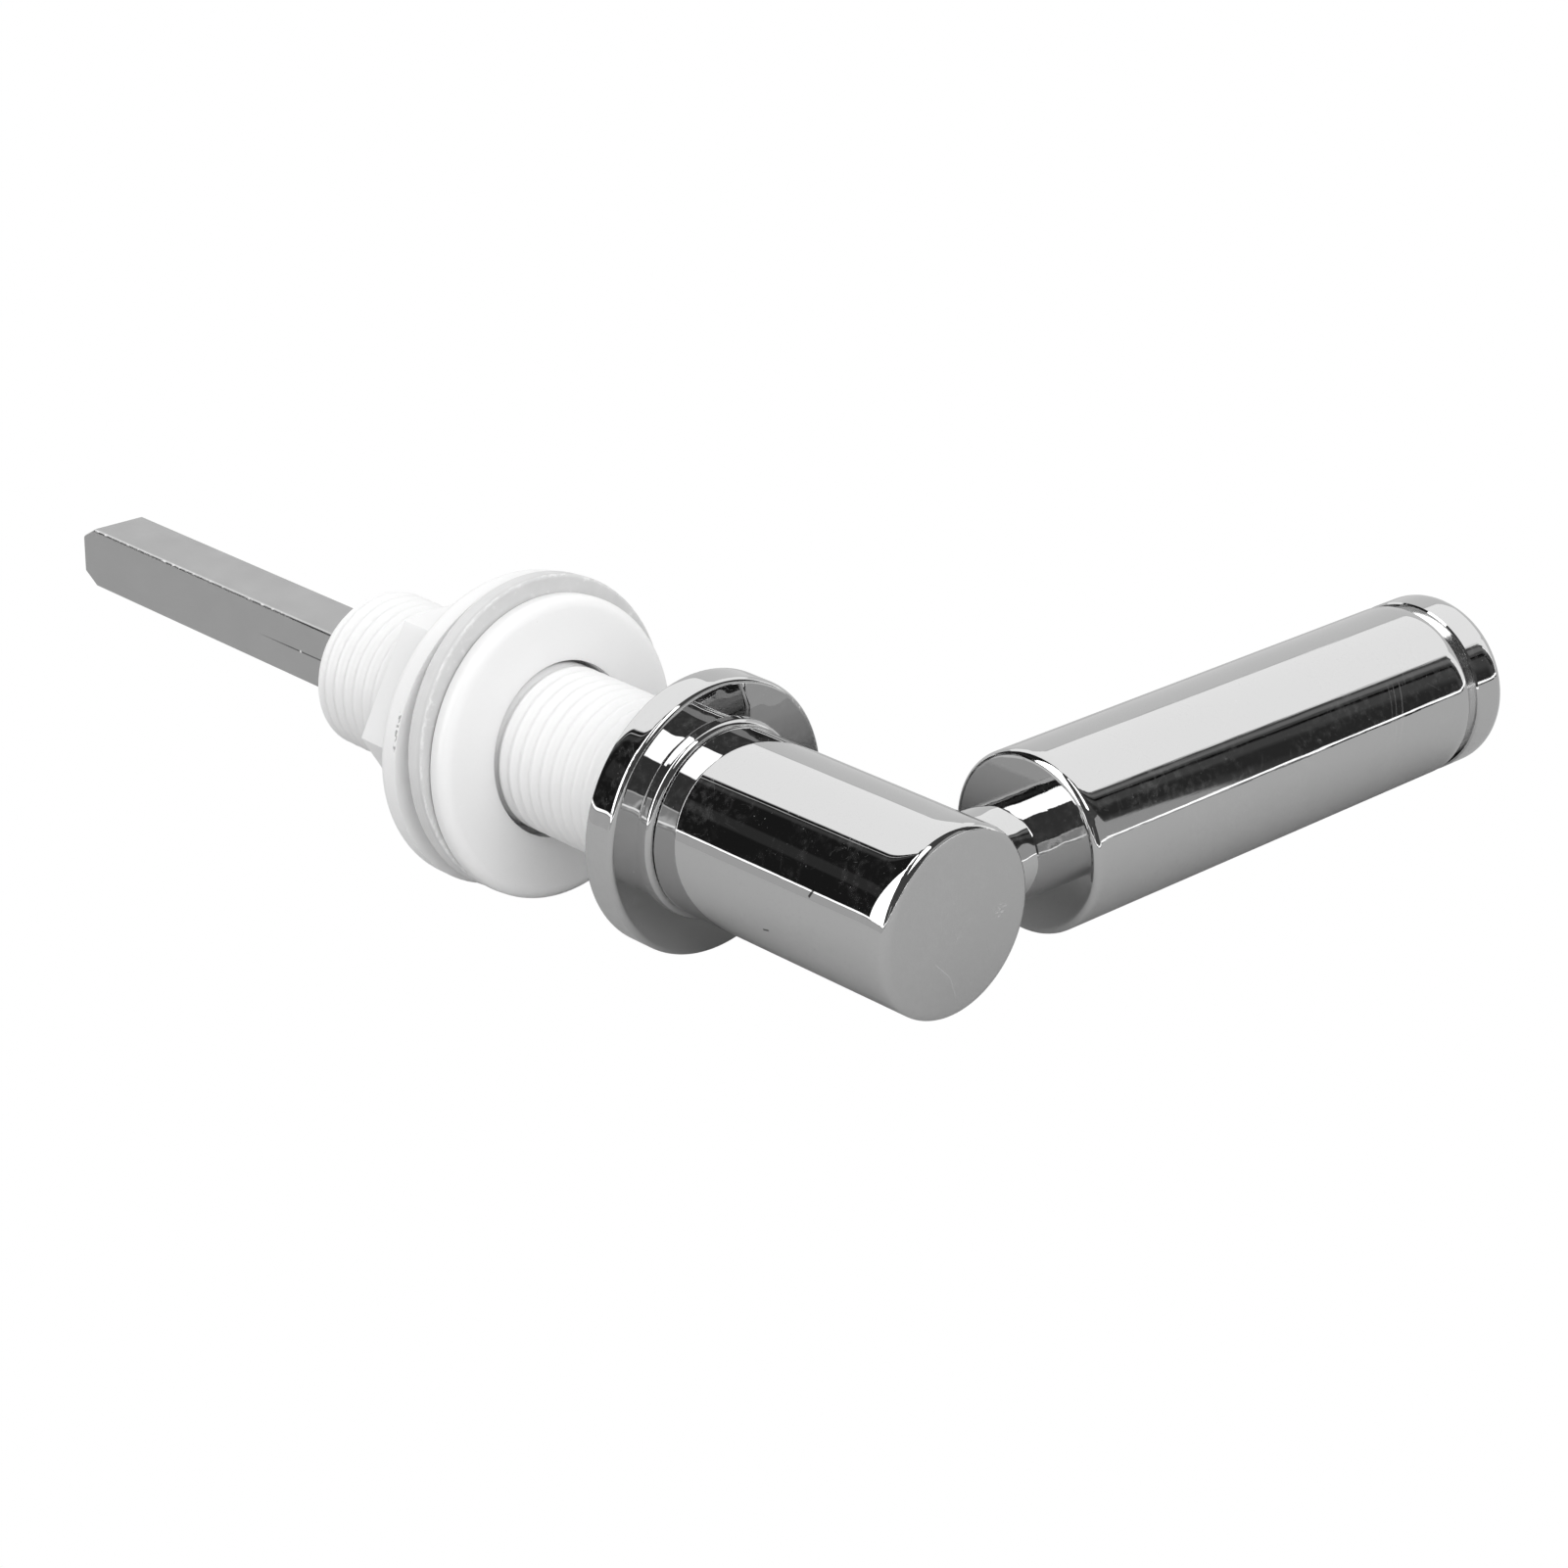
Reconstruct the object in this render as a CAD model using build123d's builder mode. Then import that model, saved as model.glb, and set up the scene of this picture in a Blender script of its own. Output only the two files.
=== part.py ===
"""Cistern lever: a chrome lever on a square spindle, its rose, threaded bush, washers and back nut.

Millimetres. The origin is the centre of the rose's back face, where it meets the cistern wall.
+Y runs along the spindle into the cistern, +X along the handle, and +Z up.
"""
import math
import os

from build123d import *

os.makedirs("parts", exist_ok=True)

# Clearances
fit_gap = 0.05            # radial gap of a part fixed in its seat
running_gap = 0.05        # radial gap of a part that turns in its bore
end_play = 0.10           # axial gap between faces that turn past each other

# Square spindle
spindle_side = 8.0
spindle_corner = 0.4
square_diagonal = math.sqrt(2)   # of a square with side 1
spindle_rear_y = 112.2    # where the full square ends
spindle_tip_length = 2.3
spindle_tip_inset = 1.4   # on the upper and the lower side
spindle_depth_in_hub = 21.0

# Hub of the lever
hub_radius = 11.2
hub_length = 35.9
hub_front_round = 1.0
hub_rear_round = 0.25
journal_radius = 7.0
journal_length = 13.5

# Neck between the hub and the handle
neck_radius = 5.95
neck_from_front = 9.45    # from the hub's front face to the handle's axis
neck_seat_x = 8.6         # floor of the neck's seat in the hub
handle_near_x = 20.85     # the handle's near face
stud_radius = 3.0
stud_in_hub = 10.0
stud_in_handle = 11.0
stud_chamfer = 0.5

# Handle
handle_radius = 10.8
handle_length = 75.5
handle_wall = 2.2
handle_near_wall = 13.0
handle_near_round = 0.9
groove_width = 1.8
groove_depth = 0.9
groove_bevel = 0.2
cap_head = 5.35
cap_round = 1.35
cap_spigot = 8.0

# Rose
rose_radius = 16.5
rose_thickness = 4.15
rose_edge_round = 0.65
rose_back_round = 0.2
boss_radius = 11.9
boss_height = 1.15
boss_round = 0.75
recess_radius = 13.0
recess_depth = 3.0

# Retaining parts behind the rose's front wall
thrust_outer_radius = 9.6
thrust_thickness = 0.5
circlip_outer_radius = 8.7
circlip_groove_depth = 0.6
circlip_thickness = 0.8
circlip_gap_angle = 40.0

# Threaded bush
thread_radius = 10.0
bush_rear_y = 57.8
bush_end_chamfer = 1.2
bush_flange_thickness = 1.2
bush_flange_sunk = 0.15   # below the rose's back face
guide_length = 6.0        # short bearing for the spindle at the rear end

# Washers, stacked on the bush and leaning back against the nut
washer_front_y = 22.7
washer_lean_side = -1.15  # degrees that the washers' axis turns towards +X
washer_lean_up = -5.45    # degrees that the washers' axis turns towards +Z
washer_hole_slack = 0.65
washer_gap = 0.15
front_washer_radius = 18.3
front_washer_thickness = 2.6
front_washer_round = 1.4
front_washer_bevel = 0.3
front_washer_drop = 0.35  # it hangs on the bush
soft_washer_radius = 19.2
soft_washer_thickness = 2.5
soft_washer_round = 0.4
soft_washer_hole_slack = 1.2
soft_washer_lift = 0.9    # the table pushes the soft washer up against the bush's lower side

# Back nut
nut_lean_gap = 0.15       # between the nut's face and the leaning washer's highest edge
nut_flange_radius = soft_washer_radius   # the flange covers the soft washer
nut_flange_thickness = 3.1
nut_flange_round = 1.1
nut_skirt_radius = 16.6
nut_skirt_height = 1.6
nut_across_flats = 25.7
nut_height = 12.4
nut_hex_turn = 2.4        # degrees
nut_rear_chamfer = 0.6

# Grub screw that holds the spindle
grub_radius = 2.5
grub_sunk = 0.6
grub_from_rear = 10.0     # from the hub's rear face
grub_key = 2.5
grub_key_depth = 2.6
grub_cone = 0.6

# Stations along the spindle worked out from the sizes above
rose_face_y = -rose_thickness
boss_face_y = rose_face_y - boss_height
hub_rear_y = boss_face_y - end_play
hub_front_y = hub_rear_y - hub_length
neck_y = hub_front_y + neck_from_front
journal_rear_y = hub_rear_y + journal_length
recess_floor_y = -recess_depth
circlip_front_y = recess_floor_y + thrust_thickness + end_play / 2
circlip_rear_y = circlip_front_y + circlip_thickness
bush_rear_of_flange_y = -bush_flange_sunk
bush_front_y = bush_rear_of_flange_y - bush_flange_thickness
guide_front_y = bush_rear_y - guide_length
spindle_front_y = hub_rear_y - spindle_depth_in_hub
spindle_reach = spindle_side * square_diagonal / 2 - spindle_corner * (square_diagonal - 1)
journal_bore_radius = journal_radius + running_gap
guide_radius = spindle_reach + running_gap
handle_far_x = handle_near_x + handle_length
cap_face_x = handle_far_x - cap_head
barrel_far_x = cap_face_x - groove_width
handle_bore_radius = handle_radius - handle_wall
groove_floor_radius = handle_radius - groove_depth

washer_slope_x = math.tan(math.radians(washer_lean_side))
washer_slope_z = math.tan(math.radians(washer_lean_up))
washer_slope = math.hypot(washer_slope_x, washer_slope_z)
washer_axis = Vector(washer_slope_x, 1, washer_slope_z).normalized()
washer_up = Vector(0, -washer_slope_z, 1).normalized()
soft_washer_front = front_washer_thickness + washer_gap
washer_stack = soft_washer_front + soft_washer_thickness
washer_middle_y = washer_front_y + washer_stack / 2 * washer_axis.Y
soft_washer_top = soft_washer_radius + soft_washer_lift
nut_front_y = (washer_front_y + washer_stack * washer_axis.Y
               + soft_washer_top * washer_slope * washer_axis.Y + nut_lean_gap)
nut_flange_rear_y = nut_front_y + nut_flange_thickness
nut_rear_y = nut_front_y + nut_height


def across_spindle(y):
    """Plane square to the spindle at station y, its normal along +Y."""
    return Plane(origin=(0, y, 0), x_dir=(1, 0, 0), z_dir=(0, 1, 0))


def across_handle(x):
    """Plane square to the handle at station x, its normal along +X."""
    return Plane(origin=(x, neck_y, 0), x_dir=(0, 1, 0), z_dir=(1, 0, 0))


def across_washers(depth, lift=0):
    """Plane square to the leaning washers, depth behind the front washer's face."""
    centre = Vector(0, washer_middle_y, 0) + washer_axis * (depth - washer_stack / 2) + washer_up * lift
    return Plane(origin=centre, x_dir=(1, -washer_slope_x, 0), z_dir=washer_axis)


# Hub, turned with the journal that runs in the bush
with BuildPart() as hub:
    with BuildSketch(across_spindle(hub_front_y)):
        Circle(hub_radius)
    extrude(amount=hub_length)
    rims = hub.edges().filter_by(GeomType.CIRCLE).sort_by(Axis.Y)
    fillet(rims[0], radius=hub_front_round)
    fillet(rims[-1], radius=hub_rear_round)
    with BuildSketch(across_spindle(hub_rear_y)):
        Circle(journal_radius)
    extrude(amount=journal_length)
    with BuildSketch(across_spindle(circlip_front_y - fit_gap)):
        Circle(journal_radius)
        Circle(journal_radius - circlip_groove_depth, mode=Mode.SUBTRACT)
    extrude(amount=circlip_thickness + 2 * fit_gap, mode=Mode.SUBTRACT)
    with BuildSketch(across_spindle(spindle_front_y)):
        Rectangle(spindle_side + 2 * fit_gap, spindle_side + 2 * fit_gap)
    extrude(amount=journal_rear_y - spindle_front_y, mode=Mode.SUBTRACT)
    with BuildSketch(across_handle(neck_seat_x)):
        Circle(neck_radius + fit_gap)
    extrude(amount=hub_radius, mode=Mode.SUBTRACT)
    with BuildSketch(across_handle(neck_seat_x - stud_in_hub)):
        Circle(stud_radius + fit_gap)
    extrude(amount=stud_in_hub, mode=Mode.SUBTRACT)
    with BuildSketch(Plane(origin=(0, hub_rear_y - grub_from_rear, 0), x_dir=(1, 0, 0), z_dir=(0, 0, -1))):
        Circle(grub_radius + fit_gap)
    extrude(amount=hub_radius, mode=Mode.SUBTRACT)
hub.part.label = "hub"
export_step(hub.part, "parts/hub.step")

# Spindle, a square bar with a tapered tip
with BuildPart() as spindle:
    with BuildSketch(across_spindle(spindle_front_y)):
        RectangleRounded(spindle_side, spindle_side, spindle_corner)
    extrude(amount=spindle_rear_y - spindle_front_y)
    with BuildSketch(across_spindle(spindle_rear_y)):
        RectangleRounded(spindle_side, spindle_side, spindle_corner)
    with BuildSketch(across_spindle(spindle_rear_y + spindle_tip_length)):
        RectangleRounded(spindle_side, spindle_side - 2 * spindle_tip_inset, spindle_corner)
    loft()
spindle.part.label = "spindle"
export_step(spindle.part, "parts/spindle.step")

# Grub screw, pressed on the spindle's lower face
grub_tip_z = -spindle_side / 2
grub_head_z = grub_sunk - hub_radius
with BuildPart() as grub_screw:
    grub_y = hub_rear_y - grub_from_rear
    with BuildSketch(Plane(origin=(0, grub_y, grub_tip_z), x_dir=(1, 0, 0), z_dir=(0, 0, -1))):
        Circle(grub_radius)
    extrude(amount=grub_tip_z - grub_head_z)
    chamfer(grub_screw.edges().filter_by(GeomType.CIRCLE), length=grub_cone)
    with BuildSketch(Plane(origin=(0, grub_y, grub_head_z), x_dir=(1, 0, 0))):
        RegularPolygon(radius=grub_key / 2, side_count=6, major_radius=False)
    extrude(amount=grub_key_depth, mode=Mode.SUBTRACT)
grub_screw.part.label = "grub_screw"
export_step(grub_screw.part, "parts/grub_screw.step")

# Circlip that keeps the lever in the rose
with BuildPart() as circlip:
    with BuildSketch(across_spindle(circlip_front_y)):
        Circle(circlip_outer_radius)
        Circle(journal_radius - circlip_groove_depth + fit_gap, mode=Mode.SUBTRACT)
        with BuildLine():
            mouth = circlip_outer_radius * 2
            half_gap = math.radians(circlip_gap_angle / 2)
            left = (-mouth * math.sin(half_gap), mouth * math.cos(half_gap))
            right = (mouth * math.sin(half_gap), mouth * math.cos(half_gap))
            Polyline((0, 0), left, right, close=True)
        make_face(mode=Mode.SUBTRACT)
    extrude(amount=circlip_thickness)
circlip.part.label = "circlip"
export_step(circlip.part, "parts/circlip.step")

# Neck collar between the hub and the handle, drilled for the stud
with BuildPart() as neck_collar:
    with BuildSketch(across_handle(neck_seat_x)):
        Circle(neck_radius)
        Circle(stud_radius + fit_gap, mode=Mode.SUBTRACT)
    extrude(amount=handle_near_x - neck_seat_x)
neck_collar.part.label = "neck_collar"
export_step(neck_collar.part, "parts/neck_collar.step")

# Stud that draws the handle and the collar on to the hub
with BuildPart() as handle_stud:
    with BuildSketch(across_handle(neck_seat_x - stud_in_hub)):
        Circle(stud_radius)
    extrude(amount=handle_near_x - neck_seat_x + stud_in_hub + stud_in_handle)
    chamfer(handle_stud.edges().filter_by(GeomType.CIRCLE), length=stud_chamfer)
handle_stud.part.label = "handle_stud"
export_step(handle_stud.part, "parts/handle_stud.step")

# Handle barrel, hollow from its far end
with BuildPart() as handle_barrel:
    with BuildSketch(across_handle(handle_near_x)):
        Circle(handle_radius)
    extrude(amount=barrel_far_x - handle_near_x)
    rims = handle_barrel.edges().filter_by(GeomType.CIRCLE).sort_by(Axis.X)
    fillet(rims[0], radius=handle_near_round)
    chamfer(rims[-1], length=groove_bevel)
    with BuildSketch(across_handle(handle_near_x + handle_near_wall)):
        Circle(handle_bore_radius)
    extrude(amount=barrel_far_x - handle_near_x - handle_near_wall, mode=Mode.SUBTRACT)
    with BuildSketch(across_handle(handle_near_x)):
        Circle(stud_radius + fit_gap)
    extrude(amount=handle_near_wall, mode=Mode.SUBTRACT)
handle_barrel.part.label = "handle_barrel"
export_step(handle_barrel.part, "parts/handle_barrel.step")

# End cap, its shoulder forming the floor of the groove
with BuildPart() as handle_end_cap:
    with BuildSketch(across_handle(cap_face_x)):
        Circle(handle_radius)
    extrude(amount=cap_head)
    rims = handle_end_cap.edges().filter_by(GeomType.CIRCLE).sort_by(Axis.X)
    chamfer(rims[0], length=groove_bevel)
    fillet(rims[-1], radius=cap_round)
    with BuildSketch(across_handle(barrel_far_x)):
        Circle(groove_floor_radius)
    extrude(amount=groove_width)
    with BuildSketch(across_handle(barrel_far_x - cap_spigot)):
        Circle(handle_bore_radius - fit_gap)
    extrude(amount=cap_spigot)
handle_end_cap.part.label = "handle_end_cap"
export_step(handle_end_cap.part, "parts/handle_end_cap.step")

# Rose, recessed behind for the bush's flange and the circlip
with BuildPart() as rose:
    with BuildSketch(across_spindle(rose_face_y)):
        Circle(rose_radius)
    extrude(amount=rose_thickness)
    rims = rose.edges().filter_by(GeomType.CIRCLE).sort_by(Axis.Y)
    fillet(rims[0], radius=rose_edge_round)
    fillet(rims[-1], radius=rose_back_round)
    with BuildSketch(across_spindle(boss_face_y)):
        Circle(boss_radius)
    extrude(amount=boss_height)
    boss_rim = rose.edges().filter_by(GeomType.CIRCLE).sort_by(Axis.Y)[0]
    fillet(boss_rim, radius=boss_round)
    with BuildSketch(across_spindle(0)):
        Circle(recess_radius)
    extrude(amount=-recess_depth, mode=Mode.SUBTRACT)
    with BuildSketch(across_spindle(boss_face_y)):
        Circle(journal_bore_radius)
    extrude(amount=rose_thickness + boss_height, mode=Mode.SUBTRACT)
rose.part.label = "rose"
export_step(rose.part, "parts/rose.step")

# Thrust washer between the rose's front wall and the circlip
with BuildPart() as thrust_washer:
    with BuildSketch(across_spindle(recess_floor_y)):
        Circle(thrust_outer_radius)
        Circle(journal_bore_radius, mode=Mode.SUBTRACT)
    extrude(amount=thrust_thickness)
thrust_washer.part.label = "thrust_washer"
export_step(thrust_washer.part, "parts/thrust_washer.step")

# Threaded bush, drawn at the thread's outer diameter
with BuildPart() as threaded_bush:
    with BuildSketch(across_spindle(bush_front_y)):
        Circle(recess_radius - fit_gap)
    extrude(amount=bush_flange_thickness)
    with BuildSketch(across_spindle(bush_rear_of_flange_y)):
        Circle(thread_radius)
    extrude(amount=bush_rear_y - bush_rear_of_flange_y)
    end_rim = threaded_bush.edges().filter_by(GeomType.CIRCLE).sort_by(Axis.Y)[-1]
    chamfer(end_rim, length=bush_end_chamfer)
    with BuildSketch(across_spindle(bush_front_y)):
        Circle(journal_bore_radius)
    extrude(amount=guide_front_y - bush_front_y, mode=Mode.SUBTRACT)
    with BuildSketch(across_spindle(guide_front_y)):
        Circle(guide_radius)
    extrude(amount=guide_length, mode=Mode.SUBTRACT)
threaded_bush.part.label = "threaded_bush"
export_step(threaded_bush.part, "parts/threaded_bush.step")

# Front washer, rounded towards the wall
with BuildPart() as front_washer:
    with BuildSketch(across_washers(0, -front_washer_drop)):
        Circle(front_washer_radius)
    extrude(amount=front_washer_thickness)
    rims = front_washer.edges().filter_by(GeomType.CIRCLE).sort_by(Axis.Y)
    fillet(rims[0], radius=front_washer_round)
    chamfer(rims[-1], length=front_washer_bevel)
    with BuildSketch(across_washers(0, -front_washer_drop)):
        Circle(thread_radius + washer_hole_slack)
    extrude(amount=front_washer_thickness, mode=Mode.SUBTRACT)
front_washer.part.label = "front_washer"
export_step(front_washer.part, "parts/front_washer.step")

# Soft washer between the front washer and the nut
with BuildPart() as soft_washer:
    with BuildSketch(across_washers(soft_washer_front, soft_washer_lift)):
        Circle(soft_washer_radius)
    extrude(amount=soft_washer_thickness)
    fillet(soft_washer.edges().filter_by(GeomType.CIRCLE), radius=soft_washer_round)
    with BuildSketch(across_washers(soft_washer_front, soft_washer_lift)):
        Circle(thread_radius + soft_washer_hole_slack)
    extrude(amount=soft_washer_thickness, mode=Mode.SUBTRACT)
soft_washer.part.label = "soft_washer"
export_step(soft_washer.part, "parts/soft_washer.step")

# Back nut, a hexagon on a round flange
with BuildPart() as back_nut:
    with BuildSketch(across_spindle(nut_flange_rear_y)):
        RegularPolygon(radius=nut_across_flats / 2, side_count=6, major_radius=False, rotation=-nut_hex_turn)
    extrude(amount=nut_rear_y - nut_flange_rear_y)
    chamfer(back_nut.faces().sort_by(Axis.Y)[-1].edges(), length=nut_rear_chamfer)
    with BuildSketch(across_spindle(nut_front_y)):
        Circle(nut_flange_radius)
    extrude(amount=nut_flange_thickness)
    flange_rim = back_nut.edges().filter_by(GeomType.CIRCLE).sort_by(Axis.Y)[-1]
    fillet(flange_rim, radius=nut_flange_round)
    with BuildSketch(across_spindle(nut_flange_rear_y)):
        Circle(nut_skirt_radius)
    with BuildSketch(across_spindle(nut_flange_rear_y + nut_skirt_height)):
        Circle(nut_across_flats / 2)
    loft()
    with BuildSketch(across_spindle(nut_front_y)):
        Circle(thread_radius + fit_gap)
    extrude(amount=nut_height, mode=Mode.SUBTRACT)
back_nut.part.label = "back_nut"
export_step(back_nut.part, "parts/back_nut.step")
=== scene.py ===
import math

import bpy
from mathutils import Matrix, Vector


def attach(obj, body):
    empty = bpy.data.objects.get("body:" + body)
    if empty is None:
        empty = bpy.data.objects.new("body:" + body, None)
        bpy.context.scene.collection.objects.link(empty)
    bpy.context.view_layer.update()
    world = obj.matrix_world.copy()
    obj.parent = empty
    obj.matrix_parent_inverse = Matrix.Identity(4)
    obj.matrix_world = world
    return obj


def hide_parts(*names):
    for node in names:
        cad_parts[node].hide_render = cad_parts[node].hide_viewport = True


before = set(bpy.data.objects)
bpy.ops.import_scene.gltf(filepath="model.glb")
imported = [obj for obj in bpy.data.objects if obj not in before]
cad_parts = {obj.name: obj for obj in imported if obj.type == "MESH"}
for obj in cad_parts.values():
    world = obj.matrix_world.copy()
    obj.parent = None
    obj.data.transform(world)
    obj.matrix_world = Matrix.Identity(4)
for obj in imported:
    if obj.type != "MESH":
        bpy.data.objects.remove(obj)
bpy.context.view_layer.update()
mm = 0.001
closeEnough = 0.002   # millimetres, for merging points
print("frame loaded")


class Shade:
    # one socket of a node tree, so that shader maths reads as plain expressions
    def __init__(self, tree, socket):
        self.tree = tree
        self.socket = socket

    def maths(self, operation, *values, clamp=False):
        made = addNode(self.tree, "ShaderNodeMath", {"operation": operation, "use_clamp": clamp})
        for place, value in enumerate(values):
            feed(made.inputs[place], value)
        return Shade(self.tree, made.outputs[0])

    def __add__(self, other):
        return self.maths("ADD", self, other)

    def __radd__(self, other):
        return self.maths("ADD", other, self)

    def __sub__(self, other):
        return self.maths("SUBTRACT", self, other)

    def __rsub__(self, other):
        return self.maths("SUBTRACT", other, self)

    def __mul__(self, other):
        return self.maths("MULTIPLY", self, other)

    def __rmul__(self, other):
        return self.maths("MULTIPLY", other, self)

    def __abs__(self):
        return self.maths("ABSOLUTE", self)

    def ramp(self, low, high):
        # 0 up to low, 1 from high on
        return self.maths("MULTIPLY", self - low, 1 / (high - low), clamp=True)

    def near(self, middle, reach, soft):
        # 1 within reach of middle, fading to 0 over soft
        return 1 - abs(self - middle).ramp(reach, reach + soft)

    def mixed(self, first, second):
        # first where this is 0, second where it is 1
        mix = addNode(self.tree, "ShaderNodeMix", {"data_type": "FLOAT"})
        for place, value in enumerate((self, None, first, second)):
            if value is not None:
                feed(mix.inputs[place], value)
        return Shade(self.tree, mix.outputs[0])


def feed(socket, value):
    if isinstance(value, Shade):
        value.tree.links.new(value.socket, socket)
    else:
        socket.default_value = value


def addNode(tree, kind, settings=None, **inputs):
    # a node with its settings first and then its sockets, named or "in0", "in1" by number
    made = tree.nodes.new(kind)
    for name, value in (settings or {}).items():
        setattr(made, name, value)
    for name, value in inputs.items():
        feed(made.inputs[int(name[2:]) if name[:2] == "in" else name], value)
    return made


class Finish:
    # one material: its nodes, the place on the object in millimetres, and its patterns
    def __init__(self, name):
        self.material = bpy.data.materials.new(name)
        self.material.use_nodes = True
        self.tree = self.material.node_tree
        self.shader = self.tree.nodes["Principled BSDF"]
        objectPlace = self.output("ShaderNodeTexCoord", "Object")
        self.place = self.output("ShaderNodeVectorMath", 0, {"operation": "SCALE"}, in0=objectPlace,
                                 Scale=1 / mm)
        parts = addNode(self.tree, "ShaderNodeSeparateXYZ", None, in0=self.place)
        self.x, self.y, self.z = (Shade(self.tree, socket) for socket in parts.outputs)

    def output(self, kind, name, settings=None, **inputs):
        return Shade(self.tree, addNode(self.tree, kind, settings, **inputs).outputs[name])

    def stretched(self, across, along, up):
        # the place with its three directions scaled, for grain that runs one way
        return self.output("ShaderNodeVectorMath", 0, {"operation": "MULTIPLY"}, in0=self.place,
                           in1=(across, along, up))

    def noise(self, scale, detail, place=None):
        return self.output("ShaderNodeTexNoise", 0, {"noise_dimensions": "3D"}, Vector=place or self.place,
                           Scale=scale, Detail=detail)

    def cells(self, scale):
        return addNode(self.tree, "ShaderNodeTexVoronoi", {"feature": "F1"}, Vector=self.place, Scale=scale)

    def chosen(self, cells, share):
        # 1 in the share of the cells that is shown, 0 in the others
        level = self.output("ShaderNodeSeparateColor", 0, None, in0=Shade(self.tree, cells.outputs["Color"]))
        return 1 - level.ramp(share - 0.01, share + 0.01)

    def vectorMaths(self, operation, first, second):
        return self.output("ShaderNodeVectorMath", 0, {"operation": operation}, in0=first, in1=second)

    def specks(self, scale, size, share):
        # small round dots, of which only a share shows
        cells = self.cells(scale)
        dot = 1 - Shade(self.tree, cells.outputs["Distance"]).ramp(size * 0.5, size)
        return dot * self.chosen(cells, share)

    def scratches(self, scale, width, length, share):
        # short straight scratches, each turned its own way, of which only a share shows
        cells = self.cells(scale)
        away = self.vectorMaths("SUBTRACT", self.place, Shade(self.tree, cells.outputs["Position"]))
        tilted = self.vectorMaths("SUBTRACT", Shade(self.tree, cells.outputs["Color"]), (0.5, 0.5, 0.5))
        across = self.output("ShaderNodeVectorMath", 0, {"operation": "NORMALIZE"}, in0=tilted)
        aside = self.dot(away, across)
        reach = self.output("ShaderNodeVectorMath", "Value", {"operation": "LENGTH"}, in0=away)
        line = (1 - abs(aside).ramp(width * 0.4, width)) * (1 - reach.ramp(length * 0.5, length))
        return line * self.chosen(cells, share)

    def dot(self, first, second):
        return self.output("ShaderNodeVectorMath", "Value", {"operation": "DOT_PRODUCT"},
                           in0=first, in1=second)

    def runOff(self, coordinate, edge, reach, degrees):
        # polishing rounds a face off towards an edge: height in millimetres, falling over reach
        near = coordinate.ramp(edge + reach, edge)
        return near * near * near * (-math.tan(math.radians(degrees)) * abs(reach) / 3)

    def spot(self, centre, reach, soft):
        # a soft round patch about a point given in millimetres
        away = self.output("ShaderNodeVectorMath", "Value", {"operation": "DISTANCE"},
                           in0=self.place, in1=centre)
        return 1 - away.ramp(reach, reach + soft)

    def stroke(self, start, end, outward, width):
        # a thin mark between two points in millimetres, on the face that looks along outward
        start, end, outward = Vector(start), Vector(end), Vector(outward).normalized()
        along = (end - start).normalized()
        fromStart = self.vectorMaths("SUBTRACT", self.place, start)
        travel = self.dot(fromStart, along)
        aside = self.dot(fromStart, along.cross(outward).normalized())
        depth = self.dot(fromStart, outward)
        half = (end - start).length / 2
        line = (1 - abs(aside).ramp(width * 0.5, width)) * travel.near(half, half * 0.8, half * 0.3)
        return line * depth.near(0, 1.5, 0.1)   # it stays on its own side of the piece

    def grey(self, shade):
        colour = addNode(self.tree, "ShaderNodeCombineColor", None, in0=shade, in1=shade, in2=shade)
        feed(self.shader.inputs["Base Color"], Shade(self.tree, colour.outputs[0]))

    def bump(self, height, depth):
        # depth in millimetres that a height of 1 stands for
        bumps = addNode(self.tree, "ShaderNodeBump", None, Height=height, Distance=depth * mm, Strength=1.0)
        feed(self.shader.inputs["Normal"], Shade(self.tree, bumps.outputs[0]))

    def set(self, **sockets):
        for name, value in sockets.items():
            feed(self.shader.inputs[name.replace("_", " ")], value)


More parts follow.
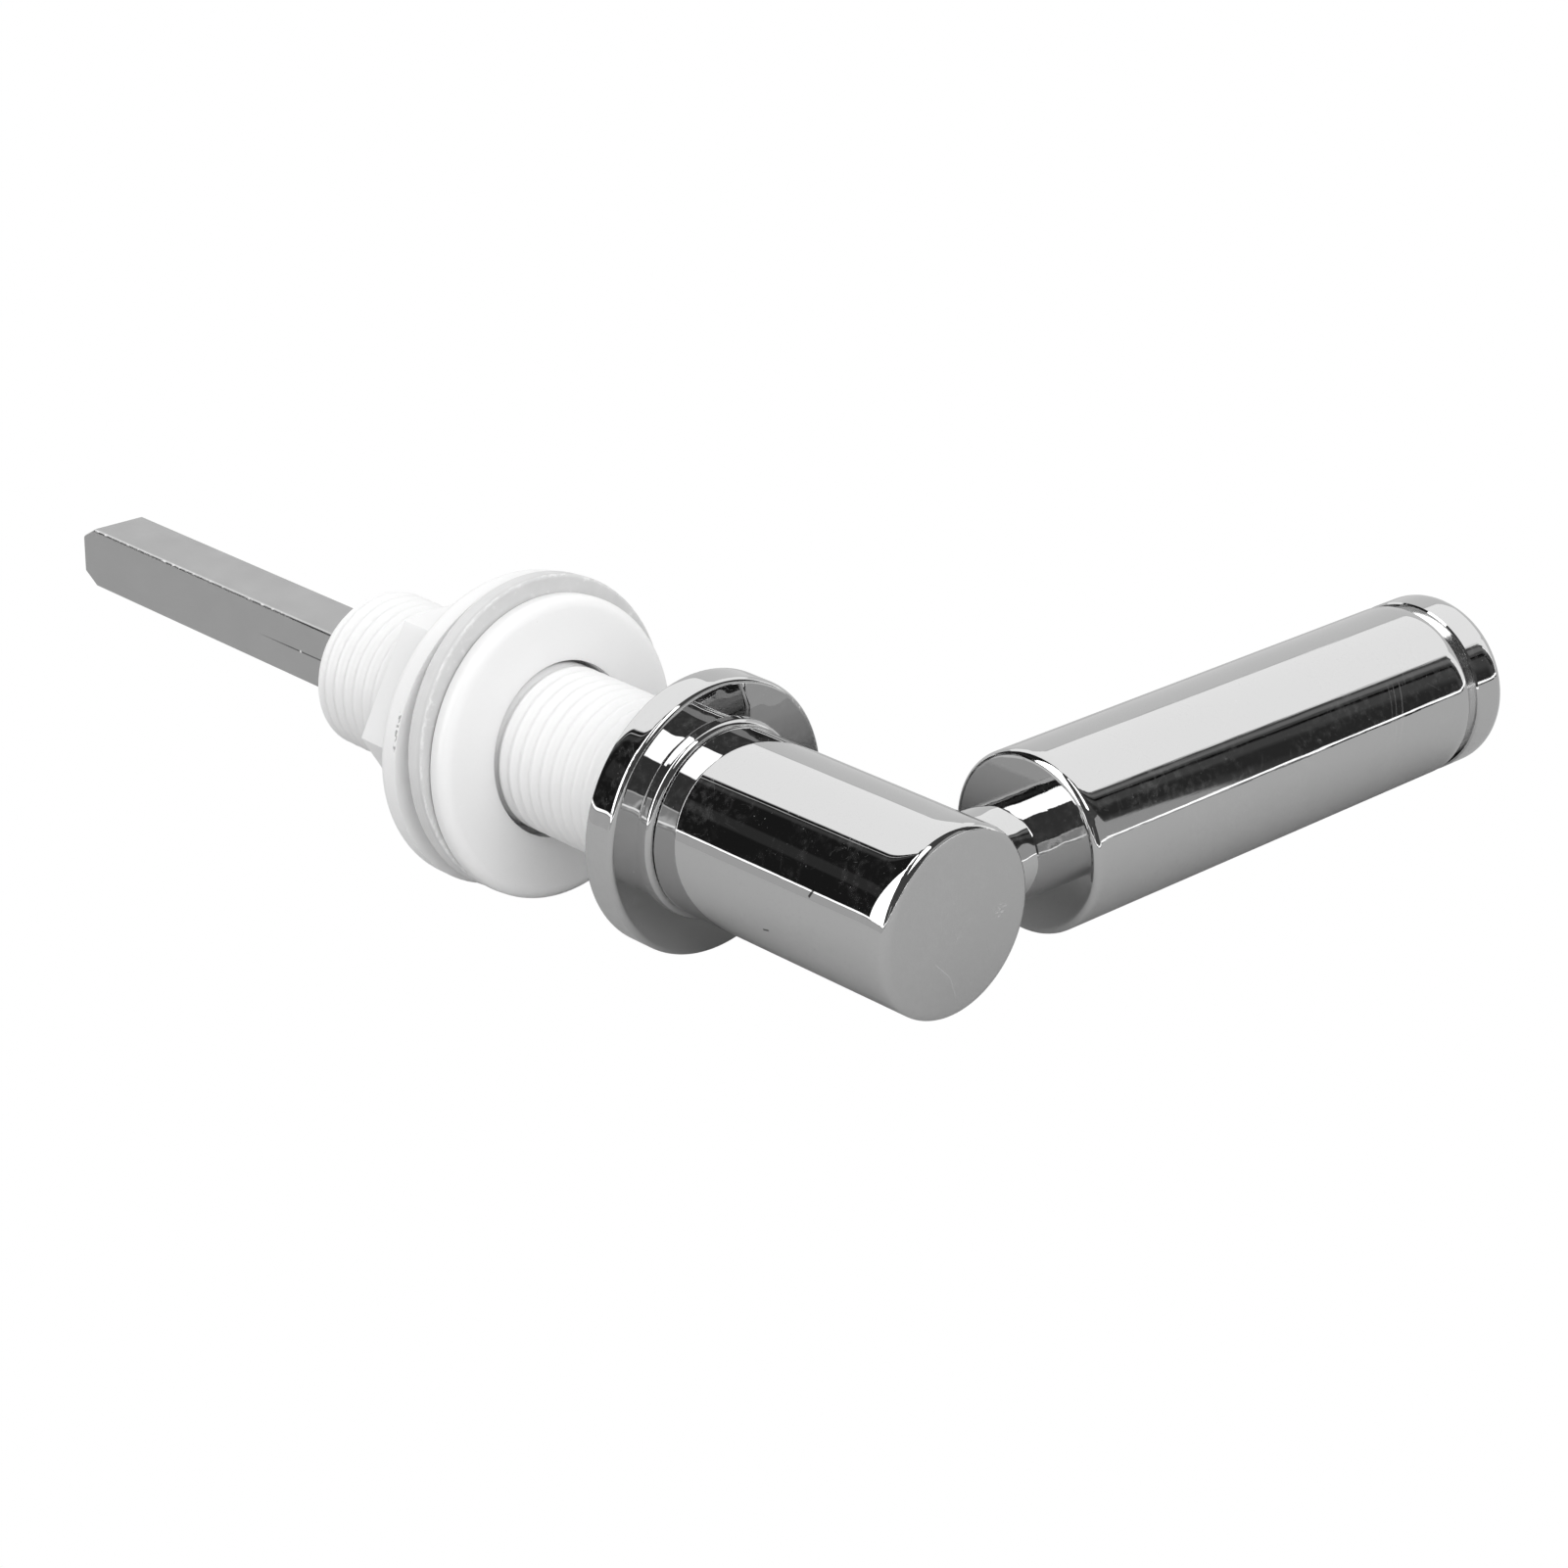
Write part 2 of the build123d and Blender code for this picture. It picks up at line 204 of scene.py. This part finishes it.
# stage: a table that the object lies on, a studio round it that only mirrors see, and soft light for the rest
stageLook = {
    "tableTouches": ((0, -3.5, -16.5), (0, 33.0, -19.2), (95.0, -31.9, -10.8)),   # rose, nut and handle's end
    "tableGap": 0.3,
    "tableSize": 500.0,
    "tableShade": 0.54,
    "tableTone": 0.53,       # of the table further off, as mirrors see it
    "leftDark": 0.014,       # of the unlit room
    "rightDark": 0.075,
    "fillBelow": 0.5,        # soft light on all that isn't a mirror: from below, level and above
    "fillLow": 0.86,
    "fillHigh": 0.96,
    "tableEdge": (-1.2, -0.8),   # heights in degrees between which the table ends
    # azimuth from, to, height from, to in degrees, softness, brightness
    "panels": (
        (-27, 110, 27, 95, 1.5, 1.22),       # pale ceiling board
        (-20, 106, -8, 27, 1.5, 0.74),       # grey backdrop behind the object
        (-119, -73, 41, 80, 0.7, 3.2),       # right softbox
        (145, 187, 1, 80, 0.7, 3.2),         # left softbox
        (-138.5, -132, -2, 15, 0.6, 0.95),   # small grey window, bright edge
        (-137.6, -133, -2, 13.8, 0.4, 0.5),
        (-27.0, -18.0, -1, 30, 0.5, 1.22),   # the ceiling board's side, down to the table
        (-28.4, -26.9, -1, 26, 0.3, 1.7),
        (-31.5, -28.0, 20, 60, 1.0, 0.2),    # its shaded edge at the right
        (-34.0, -32.2, 10, 60, 0.5, 0.004),
        (-43.1, -37.0, -2, 60, 1.5, 0.032),
        (-72, -43.1, -2, 24, 0.3, 0.42),     # pale board further right
        (112.2, 113.4, 20, 70, 0.3, 0.5),    # the ceiling board's bright edge at the left
        (113.4, 119, 20, 70, 2.0, 0.06),
        (126, 144.5, 19.5, 28, 1.5, 0.036),  # faint band at the left
    ),
    # far edge of the table: height, its tilt along x and y in degrees, thickness, brightness
    "horizon": (1.2, 0.72, -0.69, 1.3, 1.9),
    # where the backdrop hides that edge: azimuth of its middle, half its width, softness
    "horizonHidden": (43, 63, 0.5),
    # name, place in millimetres, size, power in watts
    "lights": (
        ("topLight", (-250, -150, 1150), 1000, 1.5),
        ("frontLight", (-450, -900, 500), 800, 3.6),
    ),
}


def makeWorld():
    look = stageLook
    world = bpy.data.worlds.new("studioWorld")
    bpy.context.scene.world = world
    world.use_nodes = True
    tree = world.node_tree
    tree.nodes.clear()
    direction = Shade(tree, addNode(tree, "ShaderNodeTexCoord").outputs["Generated"])
    parts = addNode(tree, "ShaderNodeSeparateXYZ", None, in0=direction)
    x, y, z = (Shade(tree, socket) for socket in parts.outputs)
    height = z.maths("ARCSINE", z) * (180 / math.pi)
    azimuth = y.maths("ARCTAN2", y, x) * (180 / math.pi)
    below = 1 - height.ramp(*look["tableEdge"])
    tone = below.mixed(azimuth.ramp(0, 90).mixed(look["rightDark"], look["leftDark"]), look["tableTone"])
    for fromSide, toSide, low, high, soft, level in look["panels"]:   # a later one covers those before it
        turned = azimuth.maths("WRAP", azimuth - (fromSide + toSide) / 2, 180.0, -180.0)
        wide = turned.near(0, max((toSide - fromSide) / 2 - soft, 0), soft)
        tall = height.near((low + high) / 2, (high - low) / 2 - soft / 2, soft)
        tone = (wide * tall).mixed(tone, level)
    middle, alongX, alongY, thickness, level = look["horizon"]
    edge = (height - x * alongX - y * alongY).near(middle, thickness / 2, 0.3)
    tone = (edge * (1 - azimuth.near(*look["horizonHidden"]))).mixed(tone, level)
    path = addNode(tree, "ShaderNodeLightPath")
    mirrored = Shade(tree, path.outputs["Is Glossy Ray"])
    seen = Shade(tree, path.outputs["Is Camera Ray"])
    fill = below.mixed(height.ramp(0, 60).mixed(look["fillLow"], look["fillHigh"]), look["fillBelow"])
    light = seen.mixed(mirrored.mixed(fill, tone), 1.0)   # white for the camera
    background = addNode(tree, "ShaderNodeBackground", None, Strength=light)
    background.inputs["Color"].default_value = (1, 1, 1, 1)
    out = addNode(tree, "ShaderNodeOutputWorld")
    tree.links.new(background.outputs[0], out.inputs[0])


def makeTable():
    look = stageLook
    first, second, third = (Vector(point) for point in look["tableTouches"])
    up = (second - first).cross(third - first).normalized()
    up = up if up.z > 0 else -up
    middle = (first - up * look["tableGap"]) * mm
    bpy.ops.object.select_all(action="DESELECT")
    bpy.ops.mesh.primitive_plane_add(size=look["tableSize"] * mm, location=middle,
                                     rotation=up.to_track_quat("Z", "Y").to_euler())
    table = bpy.context.object
    table.name = "studioTable"
    bpy.ops.object.transform_apply(location=True, rotation=True, scale=True)
    material = bpy.data.materials.new("paleTable")
    material.use_nodes = True
    tree = material.node_tree
    tree.nodes.clear()
    grey = addNode(tree, "ShaderNodeBsdfDiffuse", None, Color=(look["tableShade"],) * 3 + (1,))
    clear = addNode(tree, "ShaderNodeBsdfTransparent")
    seen = Shade(tree, addNode(tree, "ShaderNodeLightPath").outputs["Is Camera Ray"])
    # the photograph is cut out on white, so the camera sees through the table
    cutOut = addNode(tree, "ShaderNodeMixShader", None, in0=seen, in1=Shade(tree, grey.outputs[0]),
                     in2=Shade(tree, clear.outputs[0]))
    out = addNode(tree, "ShaderNodeOutputMaterial")
    tree.links.new(cutOut.outputs[0], out.inputs[0])
    table.data.materials.append(material)


def makeLights():
    for name, place, size, power in stageLook["lights"]:
        bpy.ops.object.light_add(type="AREA", location=Vector(place) * mm)
        light = bpy.context.object
        light.name = name
        light.data.shape = "SQUARE"
        light.data.size = size * mm
        light.data.energy = power
        light.rotation_euler = (-Vector(place)).to_track_quat("-Z", "Y").to_euler()
        light.visible_glossy = False   # the mirrors see only the studio boards


cameraLook = {
    "place": (-264.085, -280.979, 170.917),
    "right": (0.716515, -0.697258, 0.020925),
    "up": (0.264728, 0.299547, 0.916619),
    "back": (-0.645388, -0.651232, 0.399214),
    "lens": 85.198,
    "sensor": 36.0,
    "clip": (0.01, 50),      # metres
}


def makeCamera():
    look = cameraLook
    bpy.ops.object.camera_add()
    camera = bpy.context.object
    camera.name = "photoCamera"
    camera.data.lens = look["lens"]
    camera.data.sensor_width = look["sensor"]
    camera.data.clip_start, camera.data.clip_end = look["clip"]
    turn = Matrix((look["right"], look["up"], look["back"])).transposed().to_4x4()
    camera.matrix_world = Matrix.Translation(Vector(look["place"]) * mm) @ turn
    bpy.context.scene.camera = camera


# modelling helpers
def drawChain(name, points, closed):
    # a chain of edges, drawn point by point by extruding one vertex; points in millimetres
    bpy.ops.object.select_all(action="DESELECT")
    bpy.ops.mesh.primitive_plane_add(size=mm)
    chain = bpy.context.object
    chain.name = name
    bpy.ops.object.mode_set(mode="EDIT")
    bpy.ops.mesh.merge(type="CENTER")
    bpy.ops.transform.translate(value=Vector(points[0]) * mm)
    for before, after in zip(points, points[1:]):
        step = (Vector(after) - Vector(before)) * mm
        bpy.ops.mesh.extrude_region_move(TRANSFORM_OT_translate={"value": step})
    if closed:
        ends = (Vector(points[0]) * mm, Vector(points[-1]) * mm)
        bpy.ops.object.mode_set(mode="OBJECT")
        for vertex in chain.data.vertices:
            vertex.select = min((vertex.co - end).length for end in ends) < closeEnough * mm
        bpy.ops.object.mode_set(mode="EDIT")
        bpy.ops.mesh.edge_face_add()
    bpy.ops.object.mode_set(mode="OBJECT")
    return chain


def turnRound(chain, steps, rise=0.0, turns=1):
    # turns a chain about the spindle's axis, climbing by rise in each turn
    screw = chain.modifiers.new("turned", "SCREW")
    screw.axis = "Y"
    screw.screw_offset = rise * mm
    screw.iterations = turns
    screw.steps = screw.render_steps = steps
    screw.use_merge_vertices = True
    screw.merge_threshold = closeEnough * mm
    bpy.context.view_layer.objects.active = chain
    bpy.ops.object.modifier_apply(modifier=screw.name)


def tidyNormals(piece):
    bpy.ops.object.select_all(action="DESELECT")
    piece.select_set(True)
    bpy.context.view_layer.objects.active = piece
    bpy.ops.object.mode_set(mode="EDIT")
    bpy.ops.mesh.select_all(action="SELECT")
    bpy.ops.mesh.remove_doubles(threshold=closeEnough * mm)
    bpy.ops.mesh.normals_make_consistent(inside=False)
    bpy.ops.object.mode_set(mode="OBJECT")


def combine(piece, other, operation):
    # union or intersection with another closed piece, which is used up
    change = piece.modifiers.new("combined", "BOOLEAN")
    change.operation = operation
    change.solver = "EXACT"
    change.object = other
    bpy.ops.object.select_all(action="DESELECT")
    piece.select_set(True)
    bpy.context.view_layer.objects.active = piece
    bpy.ops.object.modifier_apply(modifier=change.name)
    bpy.data.objects.remove(other)


def boxOf(node):
    # the lowest and the highest corner, in millimetres
    corners = [node.matrix_world @ vertex.co for vertex in node.data.vertices]
    low = Vector(min(c[i] for c in corners) for i in range(3)) / mm
    high = Vector(max(c[i] for c in corners) for i in range(3)) / mm
    return low, high


# threaded bush: the solid is plain, so the piece that shows is cut with the real thread
bushLook = {
    "pitch": 1.814,          # 14 turns to the inch
    "threadRadius": 10.0,
    "depth": 0.45,
    "turnSteps": 72,
    "flankSteps": 8,
    "bore": 7.05,
    "rearBore": 5.54,
    "rearBoreLength": 6.0,
    "endChamfer": 1.2,
    "flange": 1.2,
    "intoFlange": 0.6,       # how far the thread starts inside the flange
    "pastEnd": 0.3,          # what is cut off again: the thread's end, the flange's front
    "pastFront": 0.5,
    "pastFlange": 1.0,       # the envelope's reach outside the flange
    "smoothAngle": 50,
}


def makeBush():
    look = bushLook
    low, high = boxOf(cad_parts["threaded_bush"])
    flangeRadius, flangeRear = high.x, low.y + look["flange"]
    turns = math.ceil((high.y - low.y) / look["pitch"]) + 2
    start = low.y - look["pitch"]
    wave = []
    for step in range(look["flankSteps"] + 1):
        share = step / look["flankSteps"]
        ridge = (1 - math.cos(2 * math.pi * share)) / 2
        wave.append((look["threadRadius"] - look["depth"] * (1 - ridge), start + share * look["pitch"], 0))
    thread = drawChain("threadedBush", wave, closed=False)
    turnRound(thread, look["turnSteps"], look["pitch"], turns)
    tidyNormals(thread)
    bpy.ops.object.mode_set(mode="EDIT")   # square ends, closed
    for station, outward in ((flangeRear - look["intoFlange"], -1), (high.y + look["pastEnd"], 1)):
        bpy.ops.mesh.select_all(action="SELECT")
        bpy.ops.mesh.bisect(plane_co=(0, station * mm, 0), plane_no=(0, outward, 0), use_fill=True,
                            clear_outer=True)
    bpy.ops.object.mode_set(mode="OBJECT")
    tidyNormals(thread)
    front = low.y - look["pastFront"]
    rim = drawChain("bushFlange", [
        (0, front, 0), (flangeRadius, front, 0), (flangeRadius, flangeRear, 0), (0, flangeRear, 0),
    ], closed=False)
    turnRound(rim, look["turnSteps"])
    tidyNormals(rim)
    combine(thread, rim, "UNION")
    outside, chamfer = flangeRadius + look["pastFlange"], look["endChamfer"]
    tip, guideFront = look["threadRadius"] - chamfer, high.y - look["rearBoreLength"]
    envelope = drawChain("bushEnvelope", [
        (look["bore"], low.y, 0), (outside, low.y, 0), (outside, high.y - chamfer - outside + tip, 0),
        (tip, high.y, 0), (look["rearBore"], high.y, 0), (look["rearBore"], guideFront, 0),
        (look["bore"], guideFront, 0),
    ], closed=True)
    turnRound(envelope, look["turnSteps"])
    tidyNormals(envelope)
    combine(thread, envelope, "INTERSECT")
    bpy.ops.object.shade_smooth_by_angle(angle=math.radians(look["smoothAngle"]))
    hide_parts("threaded_bush")
    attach(thread, "fixings")
    return thread


# chrome: a mirror with polished-off edges, dust, hairline scratches and a thin veil of smears
chromeLook = {
    "shade": 0.6,
    "wornShade": 0.6,
    "nickShade": 0.08,
    "roughness": 0.015,
    "smearRoughness": 0.02,
    "wornRoughness": 0.2,
    "worn": 0.4,                             # how far wear takes the metal's shine away
    # where wear gathers: scale, and the noise from which it starts and is full
    "patches": (0.16, 0.42, 0.62),
    "smears": (1.4, 0.4, 0.8),
    "veil": (1.1, 0.48, 0.75, 0.16),         # the same, and its strength
    # specks of dust: scale, size, share that shows, strength
    "dust": ((1.3, 0.1, 0.22, 0.7), (0.6, 0.055, 0.25, 0.7), (2.4, 0.16, 0.14, 0.35)),
    # hairline scratches: scale, width, length, share that shows, strength
    "hairlines": ((0.4, 0.03, 1.7, 0.3, 0.4), (1.4, 0.03, 0.35, 0.3, 0.3)),
    "hairlinesOutside": 0.15,                # of the patches, and what the patches add
    "hairlinesInside": 0.8,
    # waves in the surface: size in millimetres, depth, then how the polishing streaks are stretched, depth
    "hub": (12.0, 0.01, (4, 0.2, 4), 0.0006),
    "neck": (5.5, 0.2, (1, 1, 1), 0.0008),
    "handle": (14.0, 0.008, (0.15, 5, 5), 0.0022),
    "rose": (5.5, 0.09, (1, 1, 1), 0.0005),
    # polished-off edges: axis, station, reach inwards, degrees at the edge
    "hubEdges": (("y", -41.3, 4.2, 18),),
    "neckEdges": (),
    "handleEdges": (("x", 20.85, 2.4, 12), ("x", 89.2, -2.0, 14), ("x", 96.35, -2.8, 16)),
    # turned groove: middle, half width, radius outside it, how much paler its floor is painted (painted light
    # that lifts the shade between its walls) and how much duller
    "groove": (90.1, 0.9, 10.3, 0.15, 0.1),
    "handleAxis": -31.85,                    # station of the handle's axis along the spindle
    "roseEdges": (("y", -4.15, 1.4, 10), ("y", 0.0, -1.4, 10)),
    # marks: start, end, outward, width, and -1 for a dark nick or a share for a pale scratch
    "hubMarks": (
        ((-10.7, -23.3, -3.9), (-10.5, -22.3, -4.1), (-0.93, 0, -0.36), 0.16, -1),
        ((-10.7, -30.1, 3.5), (-10.9, -29.6, 2.5), (-0.96, 0, 0.27), 0.2, -1),
        ((-3.3, -41.3, -3.7), (-0.9, -41.3, -6.0), (0, -1, 0), 0.08, 0.25),
        ((-0.9, -41.3, -6.0), (0.3, -41.3, -9.0), (0, -1, 0), 0.08, 0.2),
    ),
    "neckMarks": (),
    "handleMarks": (
        ((77.4, -40.0, 7.0), (75.2, -42.6, 0.4), (0, -0.9, 0.4), 0.12, 0.12),
        ((76.2, -40.0, 7.0), (74.0, -42.6, 0.4), (0, -0.9, 0.4), 0.1, 0.1),
        ((75.3, -40.0, 7.0), (73.3, -42.6, 0.6), (0, -0.9, 0.4), 0.1, 0.07),
    ),
    "roseMarks": (),
    "scuff": ((6.7, -41.3, -0.4), 0.7, 0.5),            # centre, reach, softness
    "scuffGrain": (3.0, (0.5, 1, 1.6), 0.52, 0.62),     # scale, how it is stretched, noise from and to
}


def makeChrome(part):
    look = chromeLook
    chrome = Finish(part + "Chrome")
    waveSize, waveDepth, lay, layDepth = look[part]
    grooved, paintedGrooveLift, duller = 0.0, 0.0, 0.0
    if part == "handle":
        middle, half, outside, paintedGrooveLift, duller = look["groove"]
        along, rim = chrome.y - look["handleAxis"], outside ** 2
        fromAxis = along * along + chrome.z * chrome.z
        grooved = (1 - fromAxis.ramp(rim - 1, rim)) * chrome.x.near(middle, half, 0.05)
    # the polishing streaks run along the part and so not inside the groove
    streaks = chrome.noise(1.0, 3.0, chrome.stretched(*lay)) * layDepth * (1 - grooved)
    height = chrome.noise(1 / waveSize, 1.0) * waveDepth + streaks
    for axis, station, reach, degrees in look[part + "Edges"]:
        height = height + chrome.runOff(getattr(chrome, axis), station, reach, degrees)
    scale, low, high = look["patches"]
    patches = chrome.noise(scale, 3.0).ramp(low, high)
    scale, low, high, strength = look["veil"]
    worn = chrome.noise(scale, 5.0).ramp(low, high) * patches * strength
    for scale, size, share, strength in look["dust"]:
        worn = worn + chrome.specks(scale, size, share) * strength
    gathered = look["hairlinesOutside"] + patches * look["hairlinesInside"]
    for scale, width, length, share, strength in look["hairlines"]:
        worn = worn + chrome.scratches(scale, width, length, share) * strength * gathered
    dark = None
    for start, end, outward, width, share in look[part + "Marks"]:
        mark = chrome.stroke(start, end, outward, width)
        if share < 0:
            dark = mark if dark is None else dark + mark
        else:
            worn = worn + mark * (share / look["worn"])
    if part == "hub":
        scale, lay, low, high = look["scuffGrain"]
        grains = chrome.noise(scale, 4.0, chrome.stretched(*lay)).ramp(low, high)
        worn = worn + chrome.spot(*look["scuff"]) * grains
    worn = worn.maths("MINIMUM", worn, 1.0)
    # the groove's floor is painted paler: painted light against the shade between the groove's walls
    shade = worn.mixed(look["shade"], look["wornShade"]) + grooved * paintedGrooveLift
    if dark is not None:
        shade = dark.maths("MINIMUM", dark, 1.0).mixed(shade, look["nickShade"])
    chrome.grey(shade)
    scale, low, high = look["smears"]
    smears = patches * chrome.noise(scale, 4.0).ramp(low, high)
    rough = look["roughness"] + smears * look["smearRoughness"] + worn * look["wornRoughness"]
    chrome.set(Metallic=1 - worn * look["worn"], Roughness=rough + grooved * duller)
    chrome.bump(height, 1.0)
    return chrome.material


# steel bar: satin, drawn lengthways, with a seam near the bush and a painted highlight, broken into specks,
# along one arris
steelLook = {
    "shade": 0.515,
    "roughness": 0.2,
    "seam": ((-4.0, 57.0, -0.05), (-4.0, 76.8, -0.15), (-1, 0, 0), 0.11),
    "seamDot": (-4.0, 67.7, -0.1),
    "seamFade": (77, 70),               # stations between which the seam fades in
    "seamShade": 0.12,
    "dotShade": 0.9,
    "dotReach": (0.12, 0.1),
    # a painted highlight along the upper arris, broken into specks by noise; the metal is dulled there so the
    # pale colour shows
    "arrisHighlight": ((-3.9, 68.0, 3.9), (-3.9, 115.0, 3.9), (-1, 0, 1), 0.15),
    "arrisHighlightShade": 0.95,
    "grainLay": (9, 0.25, 9),           # how the drawing lines are stretched
    "specks": (1.3, 0.1, 0.2),          # scale, size, share that shows
    "varied": (0.05, 0.05, 0.06),       # what grain, clouds and specks change in the shade
    "depth": 0.004,
}


def makeSteel():
    look = steelLook
    steel = Finish("drawnSteel")
    grain = steel.noise(1.0, 4.0, steel.stretched(*look["grainLay"]))
    cloud = steel.noise(0.22, 3.0)
    seam = steel.stroke(*look["seam"]) * steel.y.ramp(*look["seamFade"])
    dot = steel.spot(look["seamDot"], *look["dotReach"])
    # painted highlight on the arris, patchy along its length
    arrisHighlight = steel.stroke(*look["arrisHighlight"]) * (0.25 + steel.noise(1.0, 4.0).ramp(0.5, 0.66) * 0.75)
    byGrain, byCloud, bySpecks = look["varied"]
    shade = (look["shade"] + (grain - 0.5) * byGrain + (cloud - 0.5) * byCloud
             + steel.specks(*look["specks"]) * bySpecks)
    # the arris gets a painted highlight colour and the seam its dark colour
    shade = seam.mixed(arrisHighlight.mixed(shade, look["arrisHighlightShade"]), look["seamShade"])
    steel.grey(dot.mixed(shade, look["dotShade"]))
    steel.set(Metallic=1 - dot * 0.9 - seam * 0.3 - arrisHighlight * 0.8,
              Roughness=look["roughness"] + (cloud - 0.5) * 0.12 + grain * 0.05)
    steel.bump(grain * 0.7 + steel.noise(3.0, 2.0) * 0.3 - seam * 3.0, look["depth"])
    return steel.material


# small steel parts inside, turned and zinc plated
turnedLook = {"shade": 0.5, "ringShade": 0.12, "roughness": 0.28, "ringRoughness": 0.15, "depth": 0.004}


def makeTurnedSteel():
    look = turnedLook
    steel = Finish("turnedSteel")
    rings = steel.noise(2.0, 3.0, steel.stretched(1, 8, 1))
    steel.grey(look["shade"] + rings * look["ringShade"])
    steel.set(Metallic=1.0, Roughness=look["roughness"] + rings * look["ringRoughness"])
    steel.bump(rings, look["depth"])
    return steel.material


# white plastic: moulded, slightly translucent, with dirt in its edges
plasticLook = {
    "shade": 0.88,
    "roughness": 0.38,
    "glow": 0.5,           # share of the light that passes under the surface
    "glowReach": 2.0,      # millimetres
    "fleckRing": 30.35,    # station of the nut's front rim, where dirt has lodged
    "fleckHeight": (4.8, 1.9, 0.6),   # middle, reach, softness
    "fleckSide": (-17, -17.6),
    "dirtShade": 0.25,
    "depth": 0.012,
}


def makeWhitePlastic(name, flecks):
    look = plasticLook
    plastic = Finish(name)
    cloud = plastic.noise(0.12, 3.0)
    skin = plastic.noise(2.6, 4.0)
    dirt = plastic.specks(0.8, 0.06, 0.12) * 0.25
    if flecks:
        onRim = plastic.y.near(look["fleckRing"], 0.12, 0.15) * plastic.z.near(*look["fleckHeight"])
        grains = plastic.noise(2.4, 4.0).ramp(0.5, 0.58)
        dirt = dirt + onRim * plastic.x.ramp(*look["fleckSide"]) * grains * 0.8
    shade = look["shade"] + (cloud - 0.5) * 0.03 + (skin - 0.5) * 0.02
    plastic.grey(dirt.mixed(shade, look["dirtShade"]))
    plastic.set(Roughness=look["roughness"] + (skin - 0.5) * 0.15, Subsurface_Weight=look["glow"],
                Subsurface_Scale=look["glowReach"] * mm)
    plastic.shader.inputs["Subsurface Radius"].default_value = (1, 1, 1)
    plastic.bump(skin * 0.6 + cloud * 0.4, look["depth"])
    return plastic.material


# soft washer: cloudy and grey, with bright specks where its edge is rubbed, and painted shade along its front
# rim where it meets the front washer
softLook = {
    "shade": 0.7,
    "roughness": 0.42,
    "lean": (-0.0201, -0.0954),   # the washers' slopes along x and z
    "rims": (25.6, 27.85),        # where the leaning washer's front and rear rims cross the axis
    "glow": 0.25,
    "glowReach": 1.2,
    "speckShade": 0.95,
    "depth": 0.03,
}


def makeSoft():
    look = softLook
    soft = Finish("cloudySoftPlastic")
    cloud = soft.noise(0.2, 4.0)
    streak = soft.noise(1.0, 3.0, soft.stretched(0.5, 6, 0.5))
    alongX, alongZ = look["lean"]
    depth = soft.y + soft.x * alongX + soft.z * alongZ
    front, rear = look["rims"]
    ragged = (soft.noise(1.1, 4.0) - 0.5) * 0.5
    rubbed = (depth + ragged).near(rear, 0.12, 0.1) + (depth - ragged).near(front, 0.05, 0.08) * 0.4
    specks = rubbed * soft.noise(0.9, 3.0).ramp(0.42, 0.6) + soft.specks(1.6, 0.12, 0.15) * 0.5
    specks = specks.maths("MINIMUM", specks, 1.0)
    # darker in a band along the front rim, against the front washer: painted shade between the two washers
    shade = look["shade"] + (cloud - 0.5) * 0.16 + (streak - 0.5) * 0.06 - depth.near(front, 0.35, 0.3) * 0.06
    soft.grey(specks.mixed(shade, look["speckShade"]))
    soft.set(Roughness=look["roughness"] + (cloud - 0.5) * 0.2, Subsurface_Weight=look["glow"],
             Subsurface_Scale=look["glowReach"] * mm)
    soft.shader.inputs["Subsurface Radius"].default_value = (1, 1, 1)
    soft.bump(cloud * 0.5 + streak * 0.5 + specks, look["depth"])
    return soft.material


# thrust washer inside the rose, slightly cloudy
nylonLook = {"shade": 0.78, "cloudShade": 0.08, "roughness": 0.45, "cloudRoughness": 0.15, "depth": 0.01}


def makeNylon():
    look = nylonLook
    nylon = Finish("pressedNylon")
    cloud = nylon.noise(0.4, 3.0)
    nylon.grey(look["shade"] + (cloud - 0.5) * look["cloudShade"])
    nylon.set(Roughness=look["roughness"] + (cloud - 0.5) * look["cloudRoughness"])
    nylon.bump(nylon.noise(2.0, 3.0), look["depth"])
    return nylon.material


def coatNodes():
    # gives every CAD node its finish and returns the white one for the bush
    steel, turned, handleChrome = makeSteel(), makeTurnedSteel(), makeChrome("handle")
    white, rimmed = makeWhitePlastic("whitePlastic", False), makeWhitePlastic("whitePlasticRim", True)
    coats = {
        "hub": makeChrome("hub"), "neck_collar": makeChrome("neck"), "rose": makeChrome("rose"),
        "handle_barrel": handleChrome, "handle_end_cap": handleChrome,
        "spindle": steel, "handle_stud": turned, "grub_screw": turned, "circlip": turned,
        "threaded_bush": white, "front_washer": white, "back_nut": rimmed,
        "soft_washer": makeSoft(), "thrust_washer": makeNylon(),
    }
    for name, coat in coats.items():
        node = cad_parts[name]
        node.data.materials.clear()
        node.data.materials.append(coat)
    return white


white = coatNodes()
print("finishes made")
bush = makeBush()
bush.data.materials.clear()
bush.data.materials.append(white)
print("bush threaded")
makeWorld()
makeTable()
makeLights()
makeCamera()
bpy.context.scene.view_settings.view_transform = "Standard"
bpy.context.scene.view_settings.look = "None"
print("stage set")
